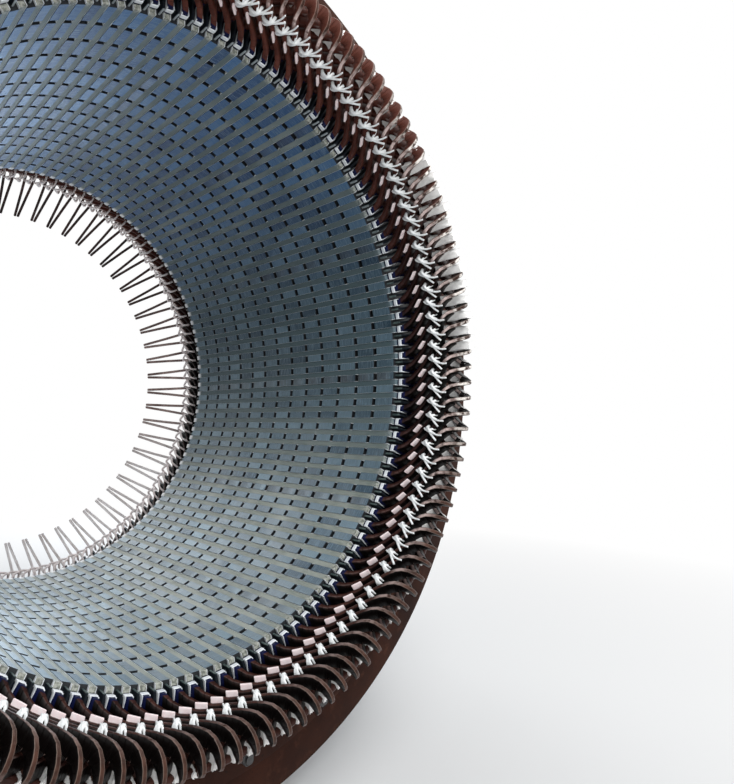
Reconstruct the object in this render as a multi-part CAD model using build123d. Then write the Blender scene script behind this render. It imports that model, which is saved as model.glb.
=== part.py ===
from build123d import *
import os
from math import atan2, ceil, cos, degrees, pi, radians, sin, tan

# Wound stator of a large low-speed motor, lying on its side with a horizontal bore.
# Millimetres. X to the right, Y along the bore from the near end to the lead end, Z up.
# The origin is on the floor, under the middle of the whole outline.
# Angles are counted about the bore axis from +X towards +Z.

# Core
bore_radius = 600.0
core_length = 830.0
yoke_depth = 134.7
slot_count = 120
slot_width = 14.0
sector_count = 12

# Slot contents, counted outwards from the bore
wedge_recess = 1.5
wedge_height = 10.0
wedge_overhang = 12.0
slot_side_gap = 0.3
slot_top_gap = 0.5
coil_height = 29.0
layer_gap = 5.0

# End winding
spanned_slot_count = 8
exit_length = 20.0
arm_reach = 115.0
nose_overhang = 155.0
nose_width = 9.0
nose_setback = 29.0
nose_flare = 28.0
nose_corner = 19.0
nose_heel = 10.0

# Coil leads at the far end
lead_root_inset = 31.0
lead_tip_inset = 44.0
lead_tip_overhang = 293.0
lead_width = 9.0
lead_thickness = 6.0
lead_tip_gap = 1.0

# Press plates that clamp the core
press_slot_gap = 36.7
press_rim_margin = 10.0
press_thickness = 30.0

# Frame
ring_sides = 48
end_ring_depth = 84.7
end_ring_thickness = 30.0
middle_ring_depth = 38.4
middle_ring_thickness = 20.0
middle_ring_count = 2
seat_gap = 0.3
bar_count = 12
bar_width = 50.0
bar_height = 36.0

# Feet under the middle rings
floor_gap = 50.0
foot_centre = 290.0
foot_plate_width = 170.0
foot_plate_thickness = 32.0
foot_overhang = 80.0
foot_web_thickness = 24.0
foot_rib_margin = 15.0
foot_bolt_radius = 14.0
foot_bolt_inset = 35.0
foot_bolt_offset = 45.0

# Lifting lugs on top of the end rings
lug_root_width = 84.0
lug_top_width = 54.0
lug_height = 90.0
lug_eye_margin = 38.0
lug_hole_radius = 18.0

# Places worked out from the sizes above
slot_step = 360 / slot_count
near_core_face = -(core_length + lead_tip_overhang - nose_overhang) / 2
far_core_face = near_core_face + core_length
coil_width = slot_width - 2 * slot_side_gap
wedge_face = bore_radius + wedge_recess
inner_side = wedge_face + wedge_height + slot_top_gap
outer_side = inner_side + coil_height + layer_gap
slot_bottom = outer_side + coil_height + slot_side_gap
core_radius = slot_bottom + yoke_depth
nose_bore_face = inner_side + nose_setback
nose_bore_back = nose_bore_face + coil_height
nose_rim = outer_side + coil_height + nose_flare
nose_rim_back = nose_rim - coil_height
lead_root_radius = nose_bore_face + lead_root_inset
lead_tip_radius = bore_radius - lead_tip_inset
press_inner_radius = slot_bottom + press_slot_gap
press_outer_radius = core_radius - press_rim_margin
bar_seat = core_radius + seat_gap
ring_outer_radius = bar_seat + end_ring_depth
middle_ring_bore = bar_seat + bar_height + seat_gap
middle_ring_radius = middle_ring_bore + middle_ring_depth
axis_height = ring_outer_radius + floor_gap


def on_axis(radius, angle, along=0.0):
    """A point at a radius and an angle about the bore axis."""
    turn = radians(angle)
    return Vector(radius * cos(turn), along, axis_height + radius * sin(turn))


def polyhedron(loops, closed):
    """A solid between four-cornered sections, each joined to the next by triangles.

    The last side is split along the same diagonal as the side across from it,
    so that the sides of like solids that lie next to each other run parallel.
    """
    faces = []
    pairs = list(zip(loops, loops[1:]))
    if closed:
        pairs.append((loops[-1], loops[0]))
    for first, second in pairs:
        for corner in range(4):
            following = (corner + 1) % 4
            a, b = first[corner], first[following]
            c, d = second[following], second[corner]
            if corner == 3:
                a, b, c, d = b, c, d, a
            faces.append(Face(Wire.make_polygon([a, b, c])))
            faces.append(Face(Wire.make_polygon([a, c, d])))
    if not closed:
        faces.append(Face(Wire.make_polygon(loops[0])))
        faces.append(Face(Wire.make_polygon(loops[-1])))
    solid = Solid(Shell(faces))
    if solid.volume < 0:
        solid = Solid(solid.wrapped.Reversed())
    return solid


def disc(radius):
    """The outline of a rolled ring, drawn with flats that lie at this distance."""
    half_side = pi / ring_sides
    return RegularPolygon(radius / cos(half_side), ring_sides, rotation=degrees(half_side))


def annulus(inner, outer, start, thickness):
    """A flat ring about the bore axis, from the plane Y = start towards +Y."""
    face = radial_plane(start) * (disc(outer) - disc(inner))
    return extrude(face, -thickness)


def radial_plane(along):
    """A plane across the bore, with its X to the right and its Y up."""
    return Plane(origin=(0, along, axis_height), x_dir=(1, 0, 0), z_dir=(0, -1, 0))


def slot_angle(number):
    """The middle of a slot."""
    return number * slot_step


def core_sector(number):
    """A slotted stretch of the core, from the middle of one tooth to that of another."""
    slots = slot_count // sector_count
    first = number * slots
    start = slot_angle(first - 0.5)
    end = slot_angle(first + slots - 0.5)
    middle = (start + end) / 2

    def flat(radius, angle, across=0.0):
        turn = radians(angle)
        x = radius * cos(turn) - across * sin(turn)
        y = radius * sin(turn) + across * cos(turn)
        return (x, y)

    half = slot_width / 2
    bore = [flat(bore_radius, start)]
    for slot in range(first, first + slots):
        angle = slot_angle(slot)
        bore.append(flat(bore_radius, angle, -half))
        bore.append(flat(slot_bottom, angle, -half))
        bore.append(flat(slot_bottom, angle, half))
        bore.append(flat(bore_radius, angle, half))
    bore.append(flat(bore_radius, end))
    back_start = flat(core_radius, end)
    back_middle = flat(core_radius, middle)
    back_end = flat(core_radius, start)
    outline = [
        Polyline(*bore),
        Line(bore[-1], back_start),
        ThreePointArc(back_start, back_middle, back_end),
        Line(back_end, bore[0]),
    ]
    face = radial_plane(near_core_face) * make_face(outline)
    return extrude(face, -core_length)


def slot_wedge(number):
    """The wedge that closes one slot and stands out a little at both ends of the core."""
    angle = slot_angle(number)
    length = core_length + 2 * wedge_overhang
    width = slot_width - 2 * slot_side_gap
    wedge = Box(wedge_height, length, width)
    place = on_axis(wedge_face + wedge_height / 2, angle, near_core_face + core_length / 2)
    return Location(place, (0, -angle, 0)) * wedge


def rounded_nose():
    """The nose of a near coil end: pairs of (radius, reach) outside and inside the turn."""
    heel = arm_reach - nose_heel
    under = nose_overhang - coil_height
    inset = (nose_rim_back - nose_bore_back) / 4
    return [
        ((nose_bore_face, arm_reach), (nose_bore_back, heel)),
        ((nose_bore_face + nose_corner, nose_overhang), (nose_bore_back + inset, under)),
        ((nose_rim - nose_corner, nose_overhang), (nose_rim_back - inset, under)),
        ((nose_rim, arm_reach), (nose_rim_back, heel)),
    ]


def square_nose():
    """The nose of a lead-end coil end, with a flat top that carries the root of the lead."""
    under = nose_overhang - coil_height
    return [
        ((nose_bore_face, nose_overhang), (nose_bore_back, under)),
        ((nose_rim, nose_overhang), (nose_rim_back, under)),
    ]


def coil_end_sections(slot, face, outward, nose_profile, mitred):
    """The sections of one coil end, from its bore side over the nose to its outer side.

    Each section has two corners on the outside of the turn, then two on its inside.
    Both arms run the same way round the bore, half of the throw each, and grow
    slimmer towards the nose, which has less insulation than the sides in their slots.
    """
    start = slot_angle(slot)
    nose = start + spanned_slot_count / 2 * slot_step
    finish = start + spanned_slot_count * slot_step

    def skew(radius, reach):
        """How far a mitred corner runs ahead, for each millimetre of half the width."""
        travel = radians(spanned_slot_count / 2 * slot_step) * radius
        rise = atan2(reach - exit_length, travel)
        return tan((pi / 2 - rise) / 2)

    def corner(radius, angle, across, reach):
        turned = angle + degrees(across / radius)
        return on_axis(radius, turned, face + outward * reach)

    def section(angle, width, outer, inner, lean):
        """Outer and inner are (radius, reach) pairs; lean pushes one side ahead."""
        half = width / 2
        ahead = half * lean
        return [
            corner(outer[0], angle, -half, outer[1] - ahead),
            corner(outer[0], angle, half, outer[1] + ahead),
            corner(inner[0], angle, half, inner[1] + ahead),
            corner(inner[0], angle, -half, inner[1] - ahead),
        ]

    bore_lean = -skew(inner_side + coil_height / 2, nose_profile[0][0][1])
    outer_lean = skew(outer_side + coil_height / 2, nose_profile[-1][0][1])
    leans = [0.0] * len(nose_profile)
    if mitred:
        leans[0] = bore_lean
        leans[-1] = outer_lean
    bore_exit = ((inner_side, exit_length), (inner_side + coil_height, exit_length))
    outer_exit = ((outer_side + coil_height, exit_length), (outer_side, exit_length))
    sections = [section(start, coil_width, *bore_exit, bore_lean)]
    for pair, lean in zip(nose_profile, leans):
        sections.append(section(nose, nose_width, *pair, lean))
    sections.append(section(finish, coil_width, *outer_exit, outer_lean))
    return sections


def coil(slot):
    """One closed diamond coil: two straight sides in their slots and a turned end at each end."""
    near_end = coil_end_sections(slot, near_core_face, -1, rounded_nose(), mitred=True)
    lead_end = coil_end_sections(slot, far_core_face, 1, square_nose(), mitred=False)
    return polyhedron(near_end + lead_end[::-1], closed=True)


def coil_lead(slot):
    """One lead, from the nose of its coil to a tip beside the tip of its partner."""
    nose = slot_angle(slot) + spanned_slot_count / 2 * slot_step
    lean = 1 if slot % 2 == 0 else -1
    pair = nose + lean * slot_step / 2
    tip_offset = -lean * (lead_width + lead_tip_gap) / 2

    def section(radius, angle, across, reach):
        corners = []
        for side, depth in ((-1, -1), (1, -1), (1, 1), (-1, 1)):
            rim = radius + depth * lead_thickness / 2
            turned = angle + degrees((across + side * lead_width / 2) / rim)
            corners.append(on_axis(rim, turned, far_core_face + reach))
        return corners

    root = section(lead_root_radius, nose, 0, nose_overhang)
    tip = section(lead_tip_radius, pair, tip_offset, lead_tip_overhang)
    return polyhedron([root, tip], closed=False)


def building_bars():
    """The flat bars along the back of the core, between the end rings."""
    length = core_length - 2 * end_ring_thickness - 2 * seat_gap
    bars = []
    for number in range(bar_count):
        angle = number * 360 / bar_count
        bar = Box(bar_height, length, bar_width)
        place = on_axis(bar_seat + bar_height / 2, angle, near_core_face + core_length / 2)
        bars.append(Location(place, (0, -angle, 0)) * bar)
    return bars


def middle_ring_starts():
    """The near faces of the middle rings, evenly spaced between the end rings."""
    first = near_core_face + end_ring_thickness
    span = core_length - 2 * end_ring_thickness
    step = span / (middle_ring_count + 1)
    half = middle_ring_thickness / 2
    return [first + step * (number + 1) - half for number in range(middle_ring_count)]


def foot(side):
    """A foot: a sole plate, a long web and a rib under each middle ring, cut to the rings."""
    starts = middle_ring_starts()
    front = starts[0] - foot_overhang
    back = starts[-1] + middle_ring_thickness + foot_overhang
    length = back - front
    middle = (front + back) / 2
    centre = side * foot_centre
    sole = Pos(centre, middle, foot_plate_thickness / 2) * Box(
        foot_plate_width, length, foot_plate_thickness
    )
    rise = axis_height - middle_ring_radius / 2 - foot_plate_thickness
    lift = foot_plate_thickness + rise / 2
    web_length = starts[-1] - starts[0] + middle_ring_thickness
    body = sole + Pos(centre, middle, lift) * Box(foot_web_thickness, web_length, rise)
    rib_width = foot_plate_width - 2 * foot_rib_margin
    for start in starts:
        place = Pos(centre, start + middle_ring_thickness / 2, lift)
        body += place * Box(rib_width, middle_ring_thickness, rise)
    seat = radial_plane(front) * disc(middle_ring_radius + seat_gap)
    body -= extrude(seat, -length)
    for end in (front + foot_bolt_inset, back - foot_bolt_inset):
        across = centre + side * foot_bolt_offset
        hole = Cylinder(foot_bolt_radius, foot_plate_thickness * 3)
        body -= Pos(across, end, 0) * hole
    return body


def lifting_lugs():
    """Two eyes that stand on top of the end rings, one at each end."""
    foot_line = ring_outer_radius + seat_gap
    eye_height = foot_line + lug_height - lug_eye_margin
    half_root = lug_root_width / 2
    half_top = lug_top_width / 2
    outline = make_face(
        Polyline(
            (-half_root, foot_line),
            (half_root, foot_line),
            (half_top, foot_line + lug_height),
            (-half_top, foot_line + lug_height),
            close=True,
        )
    )
    shape = outline - Pos(0, eye_height) * Circle(lug_hole_radius)
    lugs = []
    for start in (near_core_face, far_core_face - end_ring_thickness):
        lugs.append(extrude(radial_plane(start) * shape, -end_ring_thickness))
    return lugs


def write(name, shapes):
    """Writes the solids of one node to its own file."""
    solids = [solid for shape in shapes for solid in shape.solids()]
    node = solids[0] if len(solids) == 1 else Compound(children=solids)
    node.label = name
    export_step(node, f"parts/{name}.step")


def main():
    os.makedirs("parts", exist_ok=True)
    group = ceil(slot_count / sector_count)
    for number in range(sector_count):
        label = f"{number + 1:02d}"
        slots = range(number * group, min(slot_count, (number + 1) * group))
        write(f"core_sector_{label}", [core_sector(number)])
        write(f"coil_group_{label}", [coil(slot) for slot in slots])
    write("slot_wedges", [slot_wedge(slot) for slot in range(slot_count)])
    quarter = slot_count // 4
    for number in range(4):
        slots = range(number * quarter, (number + 1) * quarter)
        write(f"coil_leads_{number + 1}", [coil_lead(slot) for slot in slots])
    press = (press_inner_radius, press_outer_radius)
    write("press_plate_near", [annulus(*press, near_core_face - press_thickness, press_thickness)])
    write("press_plate_far", [annulus(*press, far_core_face, press_thickness)])
    end_ring = (bar_seat, ring_outer_radius)
    far_ring_start = far_core_face - end_ring_thickness
    write("end_ring_near", [annulus(*end_ring, near_core_face, end_ring_thickness)])
    write("end_ring_far", [annulus(*end_ring, far_ring_start, end_ring_thickness)])
    middle_ring = (middle_ring_bore, middle_ring_radius)
    for number, start in enumerate(middle_ring_starts()):
        ring = annulus(*middle_ring, start, middle_ring_thickness)
        write(f"middle_ring_{number + 1}", [ring])
    write("building_bars", building_bars())
    write("foot_left", [foot(-1)])
    write("foot_right", [foot(1)])
    write("lifting_lugs", lifting_lugs())


main()
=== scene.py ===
from math import cos, pi, radians, sin

import bmesh
import bpy
from mathutils import Matrix, Vector


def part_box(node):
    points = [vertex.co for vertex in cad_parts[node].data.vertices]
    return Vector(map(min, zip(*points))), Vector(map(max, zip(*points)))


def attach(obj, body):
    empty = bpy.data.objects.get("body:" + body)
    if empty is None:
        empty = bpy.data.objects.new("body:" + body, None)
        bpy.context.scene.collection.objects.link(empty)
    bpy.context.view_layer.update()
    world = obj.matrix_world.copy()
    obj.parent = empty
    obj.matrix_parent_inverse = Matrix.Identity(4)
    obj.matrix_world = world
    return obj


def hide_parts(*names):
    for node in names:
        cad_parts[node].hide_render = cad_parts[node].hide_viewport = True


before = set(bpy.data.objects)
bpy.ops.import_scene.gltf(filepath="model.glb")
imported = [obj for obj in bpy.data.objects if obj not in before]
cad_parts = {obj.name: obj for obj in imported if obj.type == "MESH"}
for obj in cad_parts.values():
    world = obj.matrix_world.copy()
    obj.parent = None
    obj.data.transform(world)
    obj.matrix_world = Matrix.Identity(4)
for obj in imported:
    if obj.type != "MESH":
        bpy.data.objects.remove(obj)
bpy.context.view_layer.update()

# Wound stator of a large low-speed motor. Metres and degrees.
# The bore runs along Y. Angles are counted about its axis from +X towards +Z.
AXIS_HEIGHT = 0.945
NEAR_FACE = -0.484
FAR_FACE = 0.346
BORE_RADIUS = 0.600
CORE_RADIUS = 0.810
RING_RADIUS = 0.895

SLOT_COUNT = 120
SLOT_STEP = 360 / SLOT_COUNT
SLOT_WIDTH = 0.014
SECTOR_COUNT = 12
PACKET_COUNT = 14
PACKET_LENGTH = 0.050
DUCT_WIDTH = 0.010
PACKET_PITCH = PACKET_LENGTH + DUCT_WIDTH

PLATE_THICKNESS = 0.030
CLAMP_INNER = 0.712
CLAMP_OUTER = 0.800
RIM_INNER = 0.8103
RIB_INNER = 0.8466
RIB_OUTER = 0.885
RIB_THICKNESS = 0.020

WEDGE_FACE = 0.6015
WEDGE_HEIGHT = 0.010
WEDGE_WIDTH = 0.0134
WEDGE_OVERHANG_NEAR = 0.0045
WEDGE_OVERHANG_FAR = 0.012
WEDGE_PIECES = 7

COIL_WIDTH = 0.0134
COIL_HEIGHT = 0.029
INNER_SIDE = 0.612
OUTER_SIDE = 0.646
COIL_THROW = 8
EXIT_REACH = 0.0135
BEND_REACH = 0.0235
NOSE_REACH = 0.155
NOSE_RIM = 0.703
NOSE_WIDTH = 0.0085
ARM_FACE = 0.635
ARM_HEIGHT = 0.026
ARM_SLOPE = 40
TAPE_LAP = 0.011
FINGER_REACH = 0.0205

bore_axis = Vector((0, 0, AXIS_HEIGHT))
core_middle = (NEAR_FACE + FAR_FACE) / 2
half_core = (FAR_FACE - NEAR_FACE) / 2


# Handling of pieces

def pick(piece):
    bpy.ops.object.select_all(action="DESELECT")
    piece.select_set(True)
    bpy.context.view_layer.objects.active = piece


def settle(piece):
    """Moves the place of a piece into its mesh."""
    pick(piece)
    bpy.ops.object.transform_apply(location=True, rotation=True, scale=True)
    return piece


def open_mesh(piece):
    pick(piece)
    bpy.ops.object.mode_set(mode="EDIT")
    bpy.ops.mesh.select_mode(type="VERT")
    bpy.ops.mesh.select_all(action="DESELECT")


def close_mesh():
    bpy.ops.object.mode_set(mode="OBJECT")


def select_faces(piece, wanted):
    """Selects the faces whose centre and normal pass the test."""
    shape = bmesh.from_edit_mesh(piece.data)
    bpy.ops.mesh.select_mode(type="FACE")
    for face in shape.faces:
        face.select_set(wanted(face.calc_center_median(), face.normal))
    bmesh.update_edit_mesh(piece.data)


def turn_outwards(piece):
    open_mesh(piece)
    bpy.ops.mesh.select_all(action="SELECT")
    bpy.ops.mesh.normals_make_consistent(inside=False)
    close_mesh()


def copy_of(piece, name):
    twin = bpy.data.objects.new(name, piece.data.copy())
    bpy.context.scene.collection.objects.link(twin)
    twin.data.name = name
    return twin


def about_bore(angle):
    """A turn about the bore axis. A positive angle goes from +X towards +Z."""
    centre = Matrix.Translation(bore_axis)
    return centre @ Matrix.Rotation(radians(-angle), 4, "Y") @ centre.inverted()


def turned_copy(piece, name, angle):
    twin = copy_of(piece, name)
    twin.data.transform(about_bore(angle))
    return twin


def far_copy(piece, name):
    """The same piece mirrored to the other end of the core."""
    twin = copy_of(piece, name)
    flip = Matrix.Translation((0, 2 * core_middle, 0)) @ Matrix.Scale(-1, 4, (0, 1, 0))
    twin.data.transform(flip)
    turn_outwards(twin)
    return twin


def join(name, pieces):
    bpy.ops.object.select_all(action="DESELECT")
    for piece in pieces:
        piece.select_set(True)
    bpy.context.view_layer.objects.active = pieces[0]
    bpy.ops.object.join()
    joined = bpy.context.object
    joined.name = name
    joined.data.name = name
    return joined


def whole_faces(piece):
    """Opens a copy of a CAD node and joins its facets into whole faces."""
    open_mesh(piece)
    bpy.ops.mesh.select_all(action="SELECT")
    bpy.ops.mesh.remove_doubles(threshold=0.00001)
    bpy.ops.mesh.dissolve_limited(angle_limit=radians(0.5))


def apply_modifier(piece, modifier):
    pick(piece)
    bpy.ops.object.modifier_apply(modifier=modifier.name)


def soften(piece, width, segments=1, angle=40):
    """Rounds the edges that are sharper than the angle."""
    bevel = piece.modifiers.new("soften", "BEVEL")
    bevel.width = width
    bevel.segments = segments
    bevel.limit_method = "ANGLE"
    bevel.angle_limit = radians(angle)
    apply_modifier(piece, bevel)
    return piece


def smooth(piece, angle=50):
    pick(piece)
    bpy.ops.object.shade_smooth_by_angle(angle=radians(angle))
    return piece


def repeat_along(piece, count, pitch):
    """Repeats a piece along the bore."""
    row = piece.modifiers.new("row", "ARRAY")
    row.count = count
    row.use_relative_offset = False
    row.use_constant_offset = True
    row.constant_offset_displace = (0, pitch, 0)
    apply_modifier(piece, row)
    return piece


def repeat_round(piece, count, step):
    """Repeats a piece round the bore."""
    post = bpy.data.objects.new("post", None)
    bpy.context.scene.collection.objects.link(post)
    post.matrix_world = about_bore(step)
    bpy.context.view_layer.update()
    ring = piece.modifiers.new("ring", "ARRAY")
    ring.count = count
    ring.use_relative_offset = False
    ring.use_object_offset = True
    ring.offset_object = post
    apply_modifier(piece, ring)
    bpy.data.objects.remove(post)
    return piece


def hand_over(piece, material, slot, *nodes):
    """Paints a finished piece, ties it to the stator and lets it stand for CAD nodes."""
    piece.data.materials.clear()
    piece.data.materials.append(material)
    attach(piece, "root")
    if nodes:
        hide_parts(*nodes)
    return piece


def hand_round(piece, material, slot, name, node, count):
    """Hands over a piece and its copies turned round the bore, one for each CAD node."""
    digits = len(str(count))
    for number in range(count):
        label = f"{number + 1:0{digits}d}"
        share = piece
        if number:
            share = turned_copy(piece, name + label, number * 360 / count)
        hand_over(share, material, slot, node + label)


# Basic shapes

def block(name, low, high):
    """A box between two corners."""
    low, high = Vector(low), Vector(high)
    bpy.ops.mesh.primitive_cube_add(size=1, location=(low + high) / 2)
    piece = bpy.context.object
    piece.name = name
    piece.scale = high - low
    return settle(piece)


def ring(name, inner, outer, start, thickness, sides=192):
    """A flat ring about the bore, from the plane Y = start towards +Y."""
    bpy.ops.mesh.primitive_circle_add(
        vertices=sides, radius=outer, location=(0, start, AXIS_HEIGHT),
        rotation=(radians(90), 0, 0),
    )
    piece = settle(bpy.context.object)
    piece.name = name
    open_mesh(piece)
    bpy.ops.mesh.select_all(action="SELECT")
    bpy.ops.mesh.extrude_region_move()
    scale = inner / outer
    bpy.ops.transform.resize(
        value=(scale, 1, scale), center_override=(0, start, AXIS_HEIGHT)
    )
    bpy.ops.mesh.select_all(action="SELECT")
    bpy.ops.mesh.extrude_region_move(
        TRANSFORM_OT_translate={"value": (0, thickness, 0)}
    )
    bpy.ops.mesh.select_all(action="SELECT")
    bpy.ops.mesh.normals_make_consistent(inside=False)
    close_mesh()
    return piece


def rod(name, radius, start, end, sides=12):
    """A round bar between two points."""
    start, end = Vector(start), Vector(end)
    along = end - start
    bpy.ops.mesh.primitive_cylinder_add(
        vertices=sides, radius=radius, depth=along.length, location=(start + end) / 2,
        rotation=along.to_track_quat("Z", "Y").to_euler(),
    )
    piece = bpy.context.object
    piece.name = name
    return settle(piece)


def at(radius, angle, along):
    turn = radians(angle)
    return Vector((radius * cos(turn), along, AXIS_HEIGHT + radius * sin(turn)))


def bar_through(name, sections):
    """A bar extruded from one four-cornered section to the next.

    The attribute "run" keeps how far along the bar each corner lies.
    """
    bpy.ops.mesh.primitive_plane_add(size=0.01, location=sections[0][0])
    piece = settle(bpy.context.object)
    piece.name = name
    open_mesh(piece)
    shape = bmesh.from_edit_mesh(piece.data)
    shape.verts.layers.float.new("run")
    face = shape.faces[:][0]
    for vertex, corner in zip(face.verts, sections[0]):
        vertex.co = corner
    bpy.ops.mesh.select_all(action="SELECT")
    travelled = 0.0
    previous = sections[0]
    for section in sections[1:]:
        bpy.ops.mesh.extrude_region_move()
        step = (section[0] + section[2]) / 2 - (previous[0] + previous[2]) / 2
        travelled += step.length
        shape = bmesh.from_edit_mesh(piece.data)
        run = shape.verts.layers.float["run"]
        moved = [vertex for vertex in shape.verts if vertex.select]
        places = [vertex.co.copy() for vertex in moved]
        for vertex, place in zip(moved, places):
            nearest = min(range(4), key=lambda n: (previous[n] - place).length)
            vertex.co = section[nearest]
            vertex[run] = travelled
        bmesh.update_edit_mesh(piece.data)
        previous = section
    bpy.ops.mesh.select_all(action="SELECT")
    bpy.ops.mesh.normals_make_consistent(inside=False)
    close_mesh()
    return piece


def cord(name, points, radius, roundness=1):
    """A stiff cord through points, made a mesh."""
    line = bpy.data.curves.new(name, "CURVE")
    line.dimensions = "3D"
    line.bevel_depth = radius
    line.bevel_resolution = roundness
    line.use_fill_caps = True
    line.resolution_u = 2
    spline = line.splines.new("NURBS")
    spline.points.add(len(points) - 1)
    for knot, point in zip(spline.points, points):
        knot.co = (*point, 1)
    spline.order_u = 3
    spline.use_endpoint_u = True
    piece = bpy.data.objects.new(name, line)
    bpy.context.scene.collection.objects.link(piece)
    pick(piece)
    bpy.ops.object.convert(target="MESH")
    return bpy.context.object


def tie(name, spots, radius, face=NEAR_FACE, outward=-1):
    """A cord on a coil end. Each spot is (slots round, radius, reach from the core)."""
    points = [
        at(out, slots * SLOT_STEP, face + outward * reach)
        for slots, out, reach in spots
    ]
    return cord(name, points, radius)


# Finishes

def new_finish(name, roughness, metallic=0.0, specular=0.5):
    finish = bpy.data.materials.new(name)
    finish.use_nodes = True
    tree = finish.node_tree
    shader = tree.nodes["Principled BSDF"]
    shader.inputs["Roughness"].default_value = roughness
    shader.inputs["Metallic"].default_value = metallic
    shader.inputs["Specular IOR Level"].default_value = specular
    return finish, tree, shader


def place_on_piece(tree, stretch=(1, 1, 1)):
    """Object coordinates about the middle of the bore, stretched for a pattern."""
    place = tree.nodes.new("ShaderNodeTexCoord")
    centre = tree.nodes.new("ShaderNodeMapping")
    centre.vector_type = "POINT"
    centre.inputs["Location"].default_value = (0, 0, -AXIS_HEIGHT * stretch[2])
    centre.inputs["Scale"].default_value = stretch
    tree.links.new(place.outputs["Object"], centre.inputs["Vector"])
    return centre.outputs["Vector"]


def noise(tree, vector, scale, detail=3.0, rough=0.55):
    texture = tree.nodes.new("ShaderNodeTexNoise")
    texture.inputs["Scale"].default_value = scale
    texture.inputs["Detail"].default_value = detail
    texture.inputs["Roughness"].default_value = rough
    tree.links.new(vector, texture.inputs["Vector"])
    return texture.outputs["Fac"]


def work_out(tree, operation, first, second=0.0, third=0.0):
    """One arithmetic step between sockets or numbers."""
    step = tree.nodes.new("ShaderNodeMath")
    step.operation = operation
    for socket, value in zip(step.inputs, (first, second, third)):
        if isinstance(value, (int, float)):
            socket.default_value = value
        else:
            tree.links.new(value, socket)
    return step.outputs["Value"]


def times(tree, first, second):
    return work_out(tree, "MULTIPLY", first, second)


def distance_from(tree, value, level):
    return work_out(tree, "ABSOLUTE", work_out(tree, "SUBTRACT", value, level))


def fade(tree, value, start, end):
    """Goes from 0 to 1 while the value goes from start to end."""
    step = tree.nodes.new("ShaderNodeMapRange")
    step.inputs["From Min"].default_value = start
    step.inputs["From Max"].default_value = end
    tree.links.new(value, step.inputs["Value"])
    return step.outputs["Result"]


def blend(tree, factor, first, second):
    """Mixes two colours, each a colour or a socket."""
    mixer = tree.nodes.new("ShaderNodeMix")
    mixer.data_type = "RGBA"
    # The node has sockets of each kind. These are the factor, colour A and colour B.
    for index, value in ((0, factor), (6, first), (7, second)):
        if isinstance(value, (int, float)):
            mixer.inputs[index].default_value = value
        elif isinstance(value, tuple):
            mixer.inputs[index].default_value = (*value, 1)
        else:
            tree.links.new(value, mixer.inputs[index])
    return mixer.outputs[2]


def colour(tree, shader, socket):
    tree.links.new(socket, shader.inputs["Base Color"])


def relief(tree, shader, height, depth):
    bump = tree.nodes.new("ShaderNodeBump")
    bump.inputs["Distance"].default_value = depth
    tree.links.new(height, bump.inputs["Height"])
    tree.links.new(bump.outputs["Normal"], shader.inputs["Normal"])


def parts_of(tree, vector):
    split = tree.nodes.new("ShaderNodeSeparateXYZ")
    tree.links.new(vector, split.inputs["Vector"])
    return split.outputs


def facing(tree, place):
    """How far a face looks away from the bore axis, and how far it looks round the bore."""
    surface = tree.nodes.new("ShaderNodeTexCoord")
    flat = tree.nodes.new("ShaderNodeVectorMath")
    flat.operation = "MULTIPLY"
    flat.inputs[1].default_value = (1, 0, 1)
    tree.links.new(place, flat.inputs[0])
    outward = tree.nodes.new("ShaderNodeVectorMath")
    outward.operation = "NORMALIZE"
    tree.links.new(flat.outputs["Vector"], outward.inputs[0])
    round_bore = tree.nodes.new("ShaderNodeVectorMath")
    round_bore.operation = "CROSS_PRODUCT"
    round_bore.inputs[1].default_value = (0, 1, 0)
    tree.links.new(outward.outputs["Vector"], round_bore.inputs[0])
    shares = []
    for direction in (outward, round_bore):
        share = tree.nodes.new("ShaderNodeVectorMath")
        share.operation = "DOT_PRODUCT"
        tree.links.new(surface.outputs["Normal"], share.inputs[0])
        tree.links.new(direction.outputs["Vector"], share.inputs[1])
        shares.append(share.outputs["Value"])
    return shares[0], work_out(tree, "ABSOLUTE", shares[1])


def reach_past_core(tree, y):
    """How far a place lies past either end of the core. It is negative between them."""
    return work_out(tree, "SUBTRACT", distance_from(tree, y, core_middle), half_core)


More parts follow.
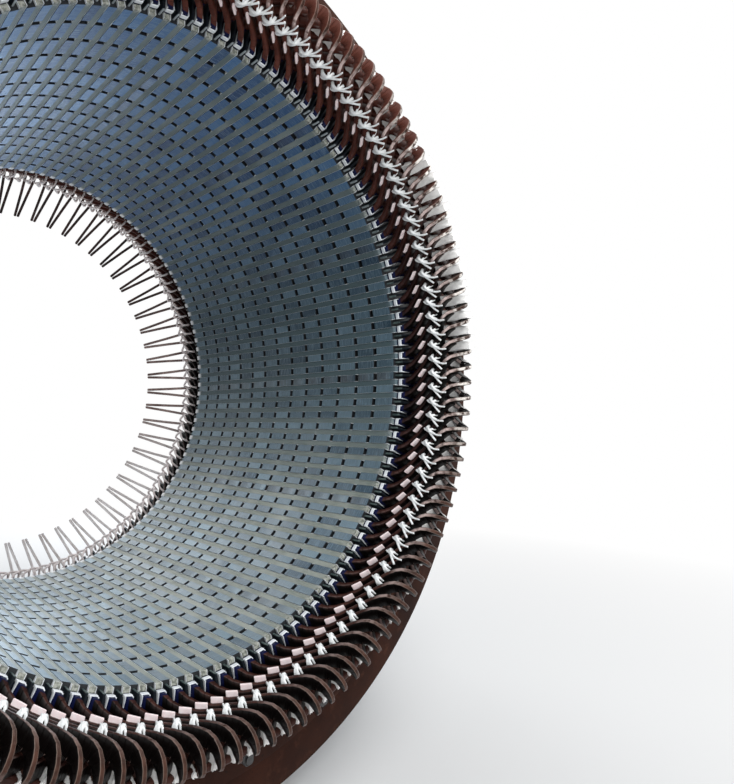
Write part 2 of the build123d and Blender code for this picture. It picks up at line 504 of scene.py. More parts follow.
def laminated_steel():
    """Sheets that differ from tooth to tooth and packet to packet, with painted light and shade:
    bluer towards the top, lighter grey patches towards the bottom, painted shade at middle height
    and in the ducts.
    """
    finish, tree, shader = new_finish("laminated_steel", 0.42, 0.2, 0.35)
    place = place_on_piece(tree)
    x, y, z = parts_of(tree, place)
    turn = work_out(tree, "ARCTAN2", z, x)
    tooth = work_out(tree, "FLOOR", times(tree, turn, SLOT_COUNT / (2 * pi)))
    along = work_out(tree, "SUBTRACT", y, NEAR_FACE)
    packet = work_out(tree, "FLOOR", work_out(tree, "DIVIDE", along, PACKET_PITCH))
    cell = tree.nodes.new("ShaderNodeCombineXYZ")
    tree.links.new(tooth, cell.inputs["X"])
    tree.links.new(packet, cell.inputs["Y"])
    tones = tree.nodes.new("ShaderNodeTexWhiteNoise")
    tones.noise_dimensions = "2D"
    tree.links.new(cell.outputs["Vector"], tones.inputs["Vector"])
    tone = tones.outputs["Value"]
    sheets = noise(tree, place_on_piece(tree, (12, 260, 12)), 3.0, 4.0, 0.7)
    cloud = noise(tree, place, 5.0, 4.0)

    # Painted light: the steel turns bluer towards the top of the bore, a painted tint of the
    # bluish daylight there.
    low = blend(tree, tone, (0.018, 0.050, 0.082), (0.140, 0.215, 0.265))
    high = blend(tree, tone, (0.008, 0.040, 0.128), (0.054, 0.145, 0.310))
    steel = blend(tree, fade(tree, z, -0.10, 0.45), low, high)
    # Painted light: lighter grey cloudy patches towards the bottom of the bore, where the light
    # falls and reflects.
    grey = times(tree, fade(tree, cloud, 0.4, 0.65), fade(tree, z, 0.10, -0.45))
    steel = blend(tree, grey, steel, (0.165, 0.200, 0.225))
    # Painted shade: the steel is darker at middle height, on the sides of the bore.
    middle = blend(tree, tone, (0.006, 0.024, 0.034), (0.070, 0.120, 0.145))
    at_middle = fade(tree, distance_from(tree, z, 0.08), 0.45, 0.10)
    steel = blend(tree, times(tree, at_middle, 0.75), steel, middle)
    steel = blend(tree, fade(tree, sheets, 0.50, 0.72), steel, (0.20, 0.29, 0.36))

    squares = work_out(tree, "ADD", times(tree, x, x), times(tree, z, z))
    back = fade(tree, work_out(tree, "SQRT", squares), 0.790, 0.806)
    dirt = fade(tree, cloud, 0.35, 0.65)
    grime = blend(tree, dirt, (0.030, 0.028, 0.030), (0.095, 0.085, 0.080))
    steel = blend(tree, times(tree, back, 0.75), steel, grime)
    # Painted shade: faces that look along the bore, in the ducts and on the ends of the packets,
    # are painted near-black.
    surface = tree.nodes.new("ShaderNodeTexCoord")
    endwise = parts_of(tree, surface.outputs["Normal"])[1]
    in_duct = work_out(tree, "GREATER_THAN", work_out(tree, "ABSOLUTE", endwise), 0.7)
    colour(tree, shader, blend(tree, in_duct, steel, (0.02, 0.022, 0.025)))
    relief(tree, shader, sheets, 0.0004)
    return finish


def wedge_board():
    """Grey-green board with crumpled tips at the near end and white ones at the far end, with
    painted shade on the top half and at middle height.
    """
    finish, tree, shader = new_finish("wedge_board", 0.55, specular=0.3)
    place = place_on_piece(tree)
    y, z = parts_of(tree, place)[1:]
    grain = noise(tree, place_on_piece(tree, (30, 4, 30)), 12.0, 4.0)
    cloud = noise(tree, place, 9.0, 3.0)
    board = blend(tree, fade(tree, grain, 0.3, 0.7), (0.15, 0.175, 0.155), (0.26, 0.285, 0.25))
    board = blend(tree, fade(tree, cloud, 0.45, 0.7), board, (0.31, 0.335, 0.30))
    # Painted shade: the board is darker and bluer on the top half of the bore.
    top_painted_shade = blend(tree, fade(tree, cloud, 0.40, 0.7), (0.11, 0.145, 0.15), (0.19, 0.225, 0.22))
    board = blend(tree, fade(tree, z, -0.10, 0.15), board, top_painted_shade)
    # Painted shade: the board is darker at middle height, on the sides of the bore.
    off_middle = distance_from(tree, z, 0.05)
    board = blend(tree, fade(tree, off_middle, 0.42, 0.12), board, (0.060, 0.095, 0.105))
    crumple = fade(tree, noise(tree, place, 160.0, 3.0), 0.38, 0.60)
    pale = blend(tree, crumple, (0.13, 0.14, 0.12), (0.40, 0.41, 0.36))
    # Painted shade: the pale tips are darker at middle height too.
    pale = blend(tree, fade(tree, off_middle, 0.40, 0.15), pale, (0.10, 0.14, 0.16))
    pale = blend(tree, fade(tree, y, 0.0, 0.1), pale, (0.85, 0.85, 0.85))
    tip = fade(tree, reach_past_core(tree, y), -0.010, 0.002)
    colour(tree, shader, blend(tree, tip, board, pale))
    relief(tree, shader, grain, 0.0003)
    return finish


def coil_tape():
    """Lapped tape, painted near-black shade and red-brown where it is lit, with dust, painted
    highlights and frayed fibre on the noses.
    """
    finish, tree, shader = new_finish("coil_tape", 0.36, specular=0.12)
    place = place_on_piece(tree)
    y, z = parts_of(tree, place)[1:]
    reach = reach_past_core(tree, y)
    run = tree.nodes.new("ShaderNodeAttribute")
    run.attribute_name = "run"
    wobble = times(tree, noise(tree, place, 60.0, 2.0), 0.003)
    lap = work_out(tree, "ADD", run.outputs["Fac"], wobble)
    lap = work_out(tree, "FRACT", work_out(tree, "DIVIDE", lap, TAPE_LAP))
    edge = fade(tree, lap, 0.86, 0.98)
    cloud = noise(tree, place, 22.0, 4.0)
    patch = noise(tree, place, 75.0, 3.0)

    shade = fade(tree, cloud, 0.35, 0.7)
    # Painted shade and light: the tape is painted near-black, lighter red-brown at the top of the
    # bore and a little lighter at the bottom where light falls.
    tape = blend(tree, shade, (0.008, 0.0032, 0.0030), (0.026, 0.0095, 0.0080))
    lit = blend(tree, shade, (0.060, 0.018, 0.013), (0.125, 0.038, 0.026))
    tape = blend(tree, fade(tree, z, 0.20, 0.60), tape, lit)
    floor_side_light = blend(tree, shade, (0.026, 0.010, 0.008), (0.062, 0.024, 0.018))
    tape = blend(tree, fade(tree, z, -0.15, -0.50), tape, floor_side_light)
    tape = blend(tree, times(tree, edge, 0.7), tape, (0.008, 0.003, 0.0028))
    worn_patch = fade(tree, patch, 0.35, 0.65)
    brown = blend(tree, worn_patch, (0.028, 0.012, 0.008), (0.070, 0.031, 0.021))
    tape = blend(tree, fade(tree, reach, 0.112, 0.140), tape, brown)

    # Dust and a painted highlight lie on the shoulders of the noses, least at the bottom of the
    # bore, and on the far noses as well.
    near_rise, near_fall = fade(tree, reach, 0.108, 0.120), fade(tree, reach, 0.148, 0.128)
    far_end = fade(tree, y, 0.30, 0.36)
    far_shoulder = times(tree, far_end, fade(tree, reach, 0.10, 0.12))
    shoulder = work_out(tree, "MAXIMUM", times(tree, near_rise, near_fall), far_shoulder)
    height = work_out(tree, "MAXIMUM", fade(tree, z, -0.62, -0.15), far_end)
    dust = times(tree, shoulder, work_out(tree, "MULTIPLY_ADD", height, 0.72, 0.14))
    dust = times(tree, dust, fade(tree, patch, 0.30, 0.52))
    tape = blend(tree, dust, tape, (0.80, 0.64, 0.60))

    # Frayed fibre shows on the tips of the noses beside the middle of the bore.
    fibre = times(tree, fade(tree, z, -0.30, -0.08), fade(tree, z, 0.58, 0.42))
    fibre = times(tree, fibre, fade(tree, reach, 0.136, 0.148))
    fibre = times(tree, fibre, fade(tree, patch, 0.42, 0.58))
    tape = blend(tree, fibre, tape, (0.76, 0.72, 0.67))

    # The flanks get painted shade, brown with painted light at the top of the bore, and the
    # rounded edges of the noses get a thin painted highlight.
    sideways = facing(tree, place)[1]
    flank = blend(tree, fade(tree, z, 0.10, 0.55), (0.0022, 0.0014, 0.0013), (0.105, 0.036, 0.026))
    tape = blend(tree, fade(tree, sideways, 0.30, 0.62), tape, flank)
    edge_highlight = times(tree, fade(tree, sideways, 0.28, 0.45), fade(tree, sideways, 0.75, 0.58))
    edge_highlight = times(tree, edge_highlight, fade(tree, reach, 0.122, 0.134))
    tape = blend(tree, times(tree, edge_highlight, 0.30), tape, (0.46, 0.33, 0.27))
    slot_part = work_out(tree, "GREATER_THAN", BEND_REACH, reach)
    tape = blend(tree, slot_part, tape, (0.0045, 0.0070, 0.038))
    colour(tree, shader, tape)
    relief(tree, shader, edge, 0.0005)
    return finish


def finger_steel():
    finish, tree, shader = new_finish("finger_steel", 0.5, 0.1, 0.2)
    place = place_on_piece(tree)
    z = parts_of(tree, place)[2]
    fine = noise(tree, place, 150.0, 3.0)
    face = blend(tree, fade(tree, fine, 0.35, 0.7), (0.030, 0.050, 0.052), (0.13, 0.17, 0.16))
    # Painted light: the fingers are lighter grey at the top of the bore.
    face = blend(tree, fade(tree, z, 0.15, 0.50), face, (0.34, 0.38, 0.40))
    # Painted shade: every face except those that look towards the bore axis is painted near-black.
    flank = fade(tree, facing(tree, place)[0], -0.8, -0.35)
    colour(tree, shader, blend(tree, flank, face, (0.006, 0.009, 0.013)))
    relief(tree, shader, fine, 0.0004)
    return finish


def plain_finish(name, dark, light, scale, roughness, metallic=0.0):
    """A finish that wanders between two tones, with a light relief."""
    finish, tree, shader = new_finish(name, roughness, metallic)
    place = place_on_piece(tree)
    cloud = noise(tree, place, scale, 5.0)
    fine = noise(tree, place, scale * 9, 3.0)
    tone = blend(tree, fade(tree, cloud, 0.35, 0.65), dark, light)
    tone = blend(tree, times(tree, fade(tree, fine, 0.5, 0.75), 0.5), tone, light)
    colour(tree, shader, tone)
    relief(tree, shader, fine, 0.0004)
    return finish


def lead_sleeve():
    """Tape on the leads: pale at the bottom of the bore, dark at the top."""
    finish, tree, shader = new_finish("lead_sleeve", 0.55, specular=0.3)
    place = place_on_piece(tree)
    cloud = noise(tree, place, 14.0, 5.0)
    fine = noise(tree, place, 120.0, 3.0)
    z = parts_of(tree, place)[2]
    shade = fade(tree, cloud, 0.35, 0.65)
    pale = blend(tree, shade, (0.66, 0.60, 0.58), (0.85, 0.81, 0.80))
    pink = blend(tree, shade, (0.16, 0.095, 0.085), (0.46, 0.34, 0.31))
    dark = blend(tree, shade, (0.018, 0.010, 0.009), (0.070, 0.034, 0.028))
    tone = blend(tree, fade(tree, z, -0.33, -0.12), pale, pink)
    tone = blend(tree, fade(tree, z, 0.12, 0.30), tone, dark)
    colour(tree, shader, tone)
    relief(tree, shader, fine, 0.0004)
    return finish


def oxide_paint():
    """Red-brown primer with dust and dark specks."""
    finish, tree, shader = new_finish("oxide_paint", 0.66, specular=0.10)
    place = place_on_piece(tree)
    cloud = fade(tree, noise(tree, place, 6.0, 5.0), 0.35, 0.65)
    dust = noise(tree, place, 26.0, 4.0, 0.65)
    speck = noise(tree, place, 190.0, 2.0)
    paint = blend(tree, cloud, (0.014, 0.0045, 0.0028), (0.040, 0.0125, 0.0062))
    paint = blend(tree, fade(tree, dust, 0.55, 0.8), paint, (0.066, 0.024, 0.013))
    paint = blend(tree, fade(tree, speck, 0.62, 0.72), paint, (0.012, 0.006, 0.005))
    colour(tree, shader, paint)
    relief(tree, shader, dust, 0.0006)
    return finish


# Pieces

def core(steel):
    """The core: 14 packets of sheets with open ducts between them."""
    packet = copy_of(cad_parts["core_sector_01"], "core_packets_01")
    whole_faces(packet)
    bpy.ops.mesh.select_all(action="SELECT")
    bpy.ops.mesh.bisect(
        plane_co=(0, NEAR_FACE + PACKET_LENGTH, 0), plane_no=(0, 1, 0),
        use_fill=True, clear_outer=True,
    )
    close_mesh()
    repeat_along(packet, PACKET_COUNT, PACKET_PITCH)
    hand_round(packet, steel, "laminated_steel", "core_packets_", "core_sector_", SECTOR_COUNT)


def duct_spacers(steel):
    """Thin radial bars that hold the ducts open, one in the middle of each tooth."""
    half, bite = 0.0015, 0.0005
    inner, outer = BORE_RADIUS + 0.030, CORE_RADIUS - 0.006
    start = NEAR_FACE + PACKET_LENGTH
    spacer = block(
        "duct_spacers",
        (inner, start - bite, AXIS_HEIGHT - half),
        (outer, start + DUCT_WIDTH + bite, AXIS_HEIGHT + half),
    )
    spacer.data.transform(about_bore(SLOT_STEP / 2))
    repeat_along(spacer, PACKET_COUNT - 1, PACKET_PITCH)
    repeat_round(spacer, SLOT_COUNT, SLOT_STEP)
    hand_over(spacer, steel, "laminated_steel")


def slot_wedges(board):
    """Wedges in short lengths, butted along each slot with a hair line between them."""
    start = NEAR_FACE - WEDGE_OVERHANG_NEAR
    length = (FAR_FACE + WEDGE_OVERHANG_FAR - start) / WEDGE_PIECES
    half, hair = WEDGE_WIDTH / 2, 0.0001
    wedge = block(
        "wedges",
        (WEDGE_FACE, start + hair, AXIS_HEIGHT - half),
        (WEDGE_FACE + WEDGE_HEIGHT, start + length - hair, AXIS_HEIGHT + half),
    )
    soften(wedge, 0.0007)
    repeat_along(wedge, WEDGE_PIECES, length)
    repeat_round(wedge, SLOT_COUNT, SLOT_STEP)
    hand_over(wedge, board, "slot_wedge", "slot_wedges")


def coil_end_stations():
    """Where a coil end goes: how many slots round, how far out, how far it leans.

    Each station is (slots, outer corner, inner corner, slope). A corner is (radius,
    reach), and the outer one lies on the outside of the loop. The slope is the angle
    between the bar and a line round the bore.
    """
    arm = [
        (0.00, 0.6120, 0.0000, 90),
        (0.00, 0.6120, EXIT_REACH, 90),
        (0.10, 0.6150, BEND_REACH, 76),
        (0.35, 0.6230, 0.0330, 57),
        (0.80, 0.6310, 0.0440, 43),
        (1.40, ARM_FACE, 0.0590, ARM_SLOPE),
        (2.60, 0.6330, 0.0905, ARM_SLOPE),
        (3.10, 0.6320, 0.1050, 44),
        (3.45, 0.6330, 0.1175, 54),
        (3.66, 0.6350, 0.1285, 68),
    ]
    nose = [
        (3.76, (0.6400, 0.1415), (0.6655, 0.124), 80),
        (3.82, (0.6490, 0.1510), (0.6670, 0.128), 90),
        (3.90, (0.6610, NOSE_REACH), (0.6690, 0.130), 90),
        (3.98, (0.6740, 0.1545), (0.6720, 0.130), 90),
        (4.06, (0.6850, 0.1505), (0.6745, 0.128), 90),
        (4.15, (0.6950, 0.1415), (0.6765, 0.124), -80),
    ]
    bore_arm, rim_arm = [], []
    for slots, radius, reach, slope in arm:
        height = COIL_HEIGHT if reach < 0.03 else ARM_HEIGHT
        bore_arm.append((slots, (radius, reach), (radius + height, reach), slope))
        # The outer arm widens from the slot to the rim of the noses.
        share = min(1, max(0, reach - 0.020) / 0.080)
        slot_rim = OUTER_SIDE + COIL_HEIGHT
        rim = slot_rim + (NOSE_RIM - slot_rim) * share
        rim_arm.append((COIL_THROW - slots, (rim, reach), (rim - height, reach), -slope))
    return bore_arm + nose + rim_arm[::-1]


def coil_sections(stations, face, outward):
    """The corners of a coil at each station, for the coil in the slot at angle 0."""
    sections = []
    for slots, outer, inner, slope in stations:
        # The bar grows slimmer over 26 mm, past where it leaves the core.
        past_exit = min(1, max(0, (outer[1] - EXIT_REACH) / 0.026))
        half = (COIL_WIDTH + (NOSE_WIDTH - COIL_WIDTH) * past_exit) / 2
        angle = slots * SLOT_STEP
        tilt = radians(abs(slope))
        ahead = -cos(tilt) if slope > 0 else cos(tilt)
        corners = []
        for side, (radius, reach) in ((-1, outer), (1, outer), (1, inner), (-1, inner)):
            turned = angle + side * half * sin(tilt) / radius * 180 / pi
            corners.append(at(radius, turned, face + outward * (reach + side * half * ahead)))
        sections.append(corners)
    return sections


def coils(tape):
    """Closed diamond coils, one for each slot, with rounded edges."""
    stations = coil_end_stations()
    near = coil_sections(stations, NEAR_FACE, -1)
    far = coil_sections(stations, FAR_FACE, 1)
    coil = bar_through("coil_bars_01", near + far[::-1] + [near[0]])
    # The bar ends where it starts, so its two end faces go and the loop is closed.
    open_mesh(coil)
    start = sum(near[0], Vector()) / 4
    select_faces(coil, lambda centre, normal: (centre - start).length < 0.002)
    bpy.ops.mesh.delete(type="FACE")
    bpy.ops.mesh.select_all(action="SELECT")
    bpy.ops.mesh.remove_doubles(threshold=0.00005)
    bpy.ops.mesh.normals_make_consistent(inside=False)
    close_mesh()
    soften(coil, 0.0022)
    smooth(coil)
    repeat_round(coil, SLOT_COUNT // SECTOR_COUNT, SLOT_STEP)
    hand_round(coil, tape, "coil_tape", "coil_bars_", "coil_group_", SECTOR_COUNT)


def liner_cuffs(paper):
    """White slot paper folded round the coils where they leave the core."""
    half = COIL_WIDTH / 2
    sunk, raised = half - 0.0004, half + 0.0014
    leaves = [block(
        "fold",
        (0.6108, NEAR_FACE - 0.0155, AXIS_HEIGHT - raised),
        (0.6150, NEAR_FACE - 0.0075, AXIS_HEIGHT + raised),
    )]
    for side in (-1, 1):
        low, high = sorted((side * sunk, side * raised))
        leaf = block(
            "leaf",
            (INNER_SIDE, NEAR_FACE - 0.0195, AXIS_HEIGHT + low),
            (0.6400, NEAR_FACE - 0.0110, AXIS_HEIGHT + high),
        )
        open_mesh(leaf)
        select_faces(leaf, lambda centre, normal: normal.x > 0.9)
        bpy.ops.transform.resize(value=(1, 0.2, 0.6))
        close_mesh()
        leaves.append(leaf)
    cuff = soften(join("cuffs_near", leaves), 0.0005)
    repeat_round(cuff, SLOT_COUNT, SLOT_STEP)
    hand_over(cuff, paper, "slot_wedge")
    hand_over(far_copy(cuff, "cuffs_far"), paper, "slot_wedge")


def slot_liners(paper):
    """Slot paper beside the wedges. It shows in the ducts and at the ends of the slots."""
    inner, outer = SLOT_WIDTH / 2 - 0.0004, SLOT_WIDTH / 2 + 0.0003
    overhang = 0.0050
    walls = []
    for side in (-1, 1):
        low, high = sorted((side * inner, side * outer))
        walls.append(block(
            "wall",
            (0.6012, NEAR_FACE - overhang, AXIS_HEIGHT + low),
            (INNER_SIDE, FAR_FACE + overhang, AXIS_HEIGHT + high),
        ))
    liner = join("slot_papers", walls)
    repeat_round(liner, SLOT_COUNT, SLOT_STEP)
    hand_over(liner, paper, "slot_wedge")


def press_fingers(plate):
    """Fingers that press on the teeth between the coils."""
    half = 0.0024
    finger = block(
        "fingers_near",
        (0.6060, NEAR_FACE - FINGER_REACH, AXIS_HEIGHT - half),
        (CLAMP_INNER + 0.0005, NEAR_FACE, AXIS_HEIGHT + half),
    )
    soften(finger, 0.0010)
    finger.data.transform(about_bore(SLOT_STEP / 2))
    repeat_round(finger, SLOT_COUNT, SLOT_STEP)
    hand_over(finger, plate, "oxide_paint")
    hand_over(far_copy(finger, "fingers_far"), plate, "oxide_paint")


def arm_spacers(pad):
    """Pale felt blocks tied on the arms, in a ring that isn't quite square to the bore."""
    along, slots_round, askew = NEAR_FACE - 0.063, 1.66, radians(0.45)
    spacer = block("spacers_near", (-0.0095, -0.0020, -0.0108), (0.0040, 0.0022, 0.0108))
    soften(spacer, 0.0008)
    seat = Matrix.Translation(at(ARM_FACE, 0, along))
    lie = Matrix.Rotation(radians(ARM_SLOPE), 4, "X")
    spacer.data.transform(about_bore(slots_round * SLOT_STEP) @ seat @ lie)
    repeat_round(spacer, SLOT_COUNT, SLOT_STEP)
    centre = Matrix.Translation((0, along, AXIS_HEIGHT))
    tilt = Matrix.Rotation(askew, 4, "Z") @ Matrix.Rotation(askew, 4, "X")
    spacer.data.transform(centre @ tilt @ centre.inverted())
    hand_over(spacer, pad, "lead_sleeve")


def lashings(white):
    """Cord lashings laid across the arms. Their free ends hang lower at the bottom."""

    def knot(long_end, short_end):
        turns = [
            tie("end", (
                (2.84, 0.641, 0.076), (2.78, 0.632, 0.079), (2.62, 0.6285, 0.085),
                (2.46, 0.6285, 0.0905), *long_end,
            ), 0.0023),
            tie("end", (
                (2.76, 0.641, 0.071), (2.70, 0.632, 0.074), (2.55, 0.6280, 0.0815),
                (2.44, 0.6275, 0.090), *short_end,
            ), 0.0020),
            tie("turn", (
                (2.90, 0.641, 0.080), (2.80, 0.631, 0.084), (2.62, 0.6265, 0.0885),
                (2.46, 0.6280, 0.0930), (2.36, 0.640, 0.0965),
            ), 0.0034),
            tie("turn", (
                (2.50, 0.6275, 0.088), (2.60, 0.6290, 0.093), (2.66, 0.633, 0.096),
                (2.70, 0.642, 0.097),
            ), 0.0026),
        ]
        return join("lashings_near", turns)

    side = knot(
        ((2.14, 0.630, 0.0990), (1.84, 0.633, 0.1085)),
        ((2.28, 0.6290, 0.104), (2.20, 0.6310, 0.113), (2.22, 0.6320, 0.121)),
    )
    low = knot(
        ((2.38, 0.630, 0.0915), (2.30, 0.637, 0.0920), (2.27, 0.651, 0.0925)),
        ((2.42, 0.629, 0.0940), (2.46, 0.638, 0.0980), (2.50, 0.655, 0.0995)),
    )
    low_count, first_angle = 29, -138
    low.data.transform(about_bore(first_angle))
    repeat_round(low, low_count, SLOT_STEP)
    side.data.transform(about_bore(first_angle + low_count * SLOT_STEP))
    repeat_round(side, SLOT_COUNT - low_count, SLOT_STEP)
    lashing = smooth(join("lashings_near", [side, low]))
    hand_over(lashing, white, "lead_sleeve")


def far_lacing(lacing):
    """Stiff cord laced from coil to coil round the lead side."""
    loops = [
        tie("loop", (
            (-0.10, 0.6340, 0.121), (-0.04, 0.6150, 0.119), (0.06, 0.6080, 0.115),
            (0.36, 0.6060, 0.102), (0.64, 0.6050, 0.090),
        ), 0.0036, FAR_FACE, 1),
        tie("loop", (
            (0.66, 0.6050, 0.088), (0.30, 0.6060, 0.082), (0.02, 0.6080, 0.076),
            (-0.10, 0.6150, 0.073), (-0.16, 0.6340, 0.071),
        ), 0.0034, FAR_FACE, 1),
        tie("tail", (
            (0.60, 0.6060, 0.090), (0.72, 0.6080, 0.100), (0.80, 0.6160, 0.108),
            (0.84, 0.6340, 0.112),
        ), 0.0024, FAR_FACE, 1),
    ]
    chain = smooth(join("lacing_far", loops))
    repeat_round(chain, SLOT_COUNT, SLOT_STEP)
    hand_over(chain, lacing, "lead_sleeve")


def felt_pads(felt):
    """Crumpled felt packed between the noses. It stands forward on the right alone.

    Each pad is a block whose front is narrowed and shifted, both across the gap and
    along the radius. The small pads are also drawn to a point towards the bore.
    """
    gap = 0.0258
    pads = []
    for number in range(SLOT_COUNT):
        angle = (number + 4.5) * SLOT_STEP
        turn = (angle + 180) % 360 - 180
        size = 0.75 + 0.25 * sin(number * 2.3)
        width, point = gap, 1
        if 0 < turn < 40:
            inner, rim, reach, root = 0.655, 0.692, 0.1535, 0.104
            narrowing, shift = Vector((0.55, 0.60)), Vector((0.009, -0.0045))
        elif -40 < turn <= 0 or 40 <= turn < 70:
            inner, rim, reach, root = 0.676, 0.700, 0.128 + 0.006 * size, 0.098
            narrowing, shift = Vector((0.5, 0.40 * size)), Vector((0.004, -0.0060))
        else:
            inner, rim, reach, root = 0.713 - 0.026 * size, 0.713, 0.108, 0.092
            narrowing, shift = Vector((0.8, 0.8)), Vector((0.002, 0.003 * sin(number * 1.7)))
            width, point = 0.52 * gap, 0.2
        pad = block(
            "pad",
            (inner, NEAR_FACE - reach, AXIS_HEIGHT - width / 2),
            (rim, NEAR_FACE - root, AXIS_HEIGHT + width / 2),
        )
        open_mesh(pad)
        select_faces(pad, lambda centre, normal: normal.x < -0.9)
        bpy.ops.transform.resize(value=(1, 1, point))
        select_faces(pad, lambda centre, normal: normal.y < -0.9)
        bpy.ops.transform.resize(value=(narrowing.x, 1, narrowing.y))
        bpy.ops.transform.translate(value=(shift.x, 0, shift.y))
        bpy.ops.mesh.select_all(action="SELECT")
        bpy.ops.mesh.subdivide(number_cuts=3)
        bpy.ops.transform.vertex_random(offset=0.0015, uniform=0.3, normal=0.7, seed=number)
        close_mesh()
        pad.data.transform(about_bore(angle))
        pads.append(pad)
    felts = smooth(join("felts_near", pads), 60)
    hand_over(felts, felt, "lead_sleeve")
    hand_over(far_copy(felts, "felts_far"), felt, "lead_sleeve")


def support_rings(tape):
    """A taped ring behind the outer arms at each end."""
    support = ring("support_near", 0.7035, 0.716, NEAR_FACE - 0.104, 0.020, 144)
    soften(support, 0.004, 2)
    smooth(support)
    hand_over(support, tape, "coil_tape")
    hand_over(far_copy(support, "support_far"), tape, "coil_tape")


def leads(sleeve):
    """Leads at the far end, two and two leaning together."""
    half_width, half_depth, gap = 0.0045, 0.003, 0.0005
    root_radius, tip_radius = 0.672, 0.556
    stations = ((0.0, 0.146), (0.06, 0.158), (0.5, 0.222), (0.94, 0.286), (1.0, 0.2928))
    pair = []
    for slot, lean in ((0, 1), (1, -1)):
        nose = (slot + COIL_THROW / 2) * SLOT_STEP
        sections = []
        for share, reach in stations:
            radius = root_radius + (tip_radius - root_radius) * share
            offset = -lean * (half_width + gap) * share / radius * 180 / pi
            angle = nose + lean * SLOT_STEP / 2 * share + offset
            corners = []
            for side, depth in ((-1, -1), (1, -1), (1, 1), (-1, 1)):
                rim = radius + depth * half_depth
                turned = angle + side * half_width / rim * 180 / pi
                corners.append(at(rim, turned, FAR_FACE + reach))
            sections.append(corners)
        lead = bar_through("lead", sections)
        soften(lead, 0.0016)
        pair.append(smooth(lead))
    quarter = join("leads_1", pair)
    repeat_round(quarter, SLOT_COUNT // 8, 2 * SLOT_STEP)
    hand_round(quarter, sleeve, "lead_sleeve", "leads_", "coil_leads_", 4)


def frame_rings(paint):
    """The press plates on the core and the rings round it, with softened edges."""
    thick = PLATE_THICKNESS
    plates = [
        ("clamp_near", "press_plate_near", CLAMP_INNER, CLAMP_OUTER, NEAR_FACE - thick, thick),
        ("clamp_far", "press_plate_far", CLAMP_INNER, CLAMP_OUTER, FAR_FACE, thick),
        ("rim_near", "end_ring_near", RIM_INNER, RING_RADIUS, NEAR_FACE, thick),
        ("rim_far", "end_ring_far", RIM_INNER, RING_RADIUS, FAR_FACE - thick, thick),
    ]
    for number in (1, 2):
        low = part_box(f"middle_ring_{number}")[0]
        plates.append(
            (f"rib_{number}", f"middle_ring_{number}", RIB_INNER, RIB_OUTER, low[1], RIB_THICKNESS)
        )
    for name, node, inner, outer, start, thickness in plates:
        plate = ring(name, inner, outer, start, thickness)
        soften(plate, 0.002, 2)
        smooth(plate, 40)
        hand_over(plate, paint, "oxide_paint", node)


def clamp_bolts(bright):
    """Studs with nuts round the press plates."""
    count, first_angle = 24, 7.5
    base = at(0.769, 0, NEAR_FACE - PLATE_THICKNESS)
    stud = rod("stud", 0.008, base, base - Vector((0, 0.019, 0)), 16)
    nut = rod("nut", 0.014, base, base - Vector((0, 0.015, 0)), 6)
    near = join("clamp_bolts_near", [stud, soften(nut, 0.0015)])
    smooth(near, 35)
    near.data.transform(about_bore(first_angle))
    repeat_round(near, count, 360 / count)
    hand_over(near, bright, "oxide_paint")
    hand_over(far_copy(near, "clamp_bolts_far"), bright, "oxide_paint")


def frame_irons(paint):
    """Bars, feet and lifting lugs with softened edges."""
    for node in ("building_bars", "foot_left", "foot_right", "lifting_lugs"):
        iron = copy_of(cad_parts[node], f"{node}_iron")
        whole_faces(iron)
        close_mesh()
        soften(iron, 0.002, 2, 50)
        smooth(iron, 35)
        hand_over(iron, paint, "oxide_paint", node)


def studio_floor():
    """A pale floor that runs evenly into the white behind it."""
    finish, tree, shader = new_finish("floor", 0.85)
    shader.inputs["Base Color"].default_value = (0.76, 0.76, 0.755, 1)
    place = tree.nodes.new("ShaderNodeTexCoord")
    distance = tree.nodes.new("ShaderNodeVectorMath")
    distance.operation = "LENGTH"
    tree.links.new(place.outputs["Object"], distance.inputs[0])
    far = fade(tree, distance.outputs["Value"], 1.1, 3.4)
    path = tree.nodes.new("ShaderNodeLightPath")
    bright = tree.nodes.new("ShaderNodeEmission")
    bright.inputs["Color"].default_value = (1, 1, 1, 1)
    mixer = tree.nodes.new("ShaderNodeMixShader")
    tree.links.new(times(tree, far, path.outputs["Is Camera Ray"]), mixer.inputs[0])
    tree.links.new(shader.outputs[0], mixer.inputs[1])
    tree.links.new(bright.outputs[0], mixer.inputs[2])
    tree.links.new(mixer.outputs[0], tree.nodes["Material Output"].inputs["Surface"])
    return finish


def floor():
    bpy.ops.mesh.primitive_plane_add(size=40, location=(0, 0, 0))
    ground = bpy.context.object
    ground.name = "floor"
    ground.data.materials.append(studio_floor())


def studio_air():
    """White behind the object, and a soft bluish light on it."""
    world = bpy.data.worlds.new("studio")
    bpy.context.scene.world = world
    world.use_nodes = True
    tree = world.node_tree
    air = tree.nodes["Background"]
    air.inputs["Color"].default_value = (0.86, 0.90, 0.96, 1)
    air.inputs["Strength"].default_value = 0.28
    white = tree.nodes.new("ShaderNodeBackground")
    white.inputs["Color"].default_value = (1, 1, 1, 1)
    path = tree.nodes.new("ShaderNodeLightPath")
    seen = work_out(tree, "MAXIMUM", path.outputs["Is Camera Ray"], path.outputs["Is Glossy Ray"])
    seen = work_out(tree, "MAXIMUM", seen, path.outputs["Is Transmission Ray"])
    chosen = tree.nodes.new("ShaderNodeMixShader")
    tree.links.new(seen, chosen.inputs[0])
    tree.links.new(air.outputs[0], chosen.inputs[1])
    tree.links.new(white.outputs[0], chosen.inputs[2])
    tree.links.new(chosen.outputs[0], tree.nodes["World Output"].inputs["Surface"])


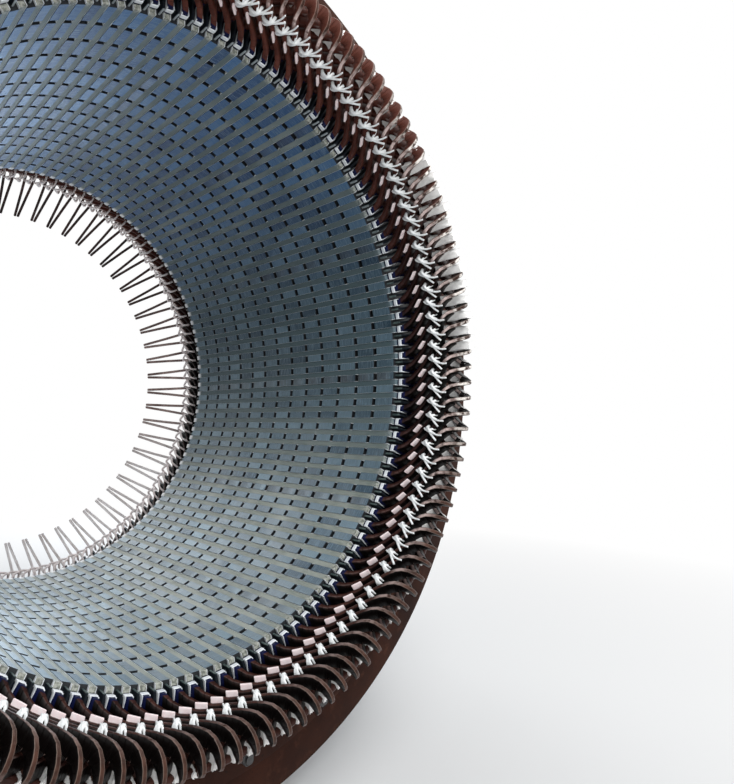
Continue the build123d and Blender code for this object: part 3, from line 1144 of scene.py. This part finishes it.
def lamps():
    """Each lamp has a place, an aim, a size, a power and a colour."""
    plain, daylight = (1, 1, 1), (0.72, 0.86, 1.0)
    table = (
        ("key", (-0.9, -3.4, 4.2), (0, 0, 0.6), 2.6, 190, plain),
        ("side", (3.8, -2.4, 2.6), (0, 0, 0.9), 2.6, 60, plain),
        ("back", (0.5, 4.2, 3.6), (0, 0, 0.9), 3.0, 110, plain),
        ("window", (2.0, 3.2, 0.6), (-0.3, 0, 1.2), 1.6, 48, daylight),
        ("front", (-0.9, -3.6, 0.9), (0.3, -0.4, 1.2), 1.8, 32, plain),
    )
    for name, place, aim, size, power, hue in table:
        lamp = bpy.data.lights.new(name, "AREA")
        lamp.size = size
        lamp.energy = power
        lamp.color = hue
        holder = bpy.data.objects.new(name, lamp)
        bpy.context.scene.collection.objects.link(holder)
        holder.location = place
        toward = Vector(aim) - Vector(place)
        holder.rotation_euler = toward.to_track_quat("-Z", "Y").to_euler()


def camera():
    """The camera of the photograph, as it was fitted to the slots and the coil ends."""
    lens = bpy.data.cameras.new("view")
    lens.sensor_width = 36
    lens.lens = 27.872
    lens.shift_x = 0.20385
    lens.shift_y = -0.01048
    lens.clip_start = 0.05
    holder = bpy.data.objects.new("view", lens)
    bpy.context.scene.collection.objects.link(holder)
    right = Vector((0.81952, -0.57290, -0.01343)).normalized()
    up = Vector((-0.01644, -0.04694, 0.99876))
    up = (up - up.dot(right) * right).normalized()
    back = right.cross(up)
    turn = Matrix((right, up, back)).transposed().to_4x4()
    place = Vector((-0.6057, NEAR_FACE - 0.9377, AXIS_HEIGHT - 0.1314))
    holder.matrix_world = Matrix.Translation(place) @ turn
    bpy.context.scene.camera = holder


steel = laminated_steel()
board = wedge_board()
tape = coil_tape()
paint = oxide_paint()
paper = plain_finish("slot_paper", (0.62, 0.66, 0.70), (0.85, 0.88, 0.90), 30.0, 0.6)
white = plain_finish("lashing_cord", (0.74, 0.76, 0.76), (0.88, 0.90, 0.90), 90.0, 0.7)
lacing = plain_finish("lacing_cord", (0.78, 0.67, 0.65), (0.93, 0.87, 0.86), 70.0, 0.7)
felt = plain_finish("white_felt", (0.74, 0.73, 0.71), (0.90, 0.89, 0.87), 60.0, 0.9)
sleeve = lead_sleeve()
plate = finger_steel()
pad = plain_finish("spacer_felt", (0.88, 0.71, 0.71), (0.92, 0.82, 0.82), 120.0, 0.8)
bright = plain_finish("dark_steel", (0.03, 0.03, 0.032), (0.10, 0.10, 0.10), 30.0, 0.4, 0.5)

core(steel)
duct_spacers(steel)
slot_wedges(board)
coils(tape)
liner_cuffs(paper)
slot_liners(paper)
press_fingers(plate)
arm_spacers(pad)
lashings(white)
far_lacing(lacing)
felt_pads(felt)
support_rings(tape)
leads(sleeve)
frame_rings(paint)
clamp_bolts(bright)
frame_irons(paint)
floor()
studio_air()
lamps()
camera()

bpy.context.scene.view_settings.view_transform = "Standard"
bpy.context.view_layer.update()
